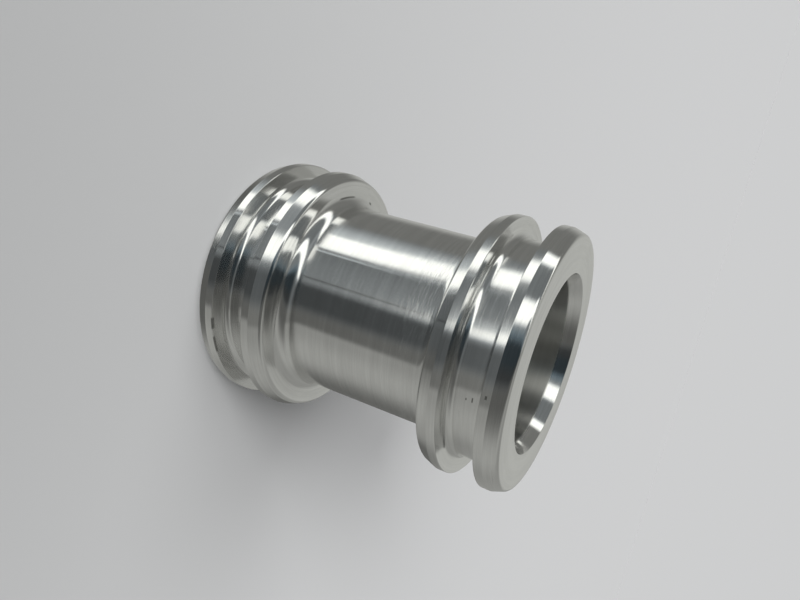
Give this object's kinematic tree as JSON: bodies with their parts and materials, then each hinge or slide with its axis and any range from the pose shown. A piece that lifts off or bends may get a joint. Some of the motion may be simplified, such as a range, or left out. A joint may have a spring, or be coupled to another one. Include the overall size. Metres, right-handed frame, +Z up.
{
  "type": "sanitary spool pipe",
  "caption": "Short turned aluminium spool pipe with a plain barrel, a through bore and a double flange with a seal groove at each end.",
  "frame": {"origin": "on the bore axis at the lower end face, which is the face that the spool stands on", "axes": "+Z up the bore axis, from the lower end face to the upper one; the part is the same all the way round, so +X and +Y are any two directions square to it"},
  "size_m": [0.0505, 0.0504, 0.063],
  "materials": {
    "spool": "fine-turned, bright, with fine tool rings and smooth blends"
  },
  "bodies": {
    "root": {"spool": "spool"}
  },
  "joints": []
}
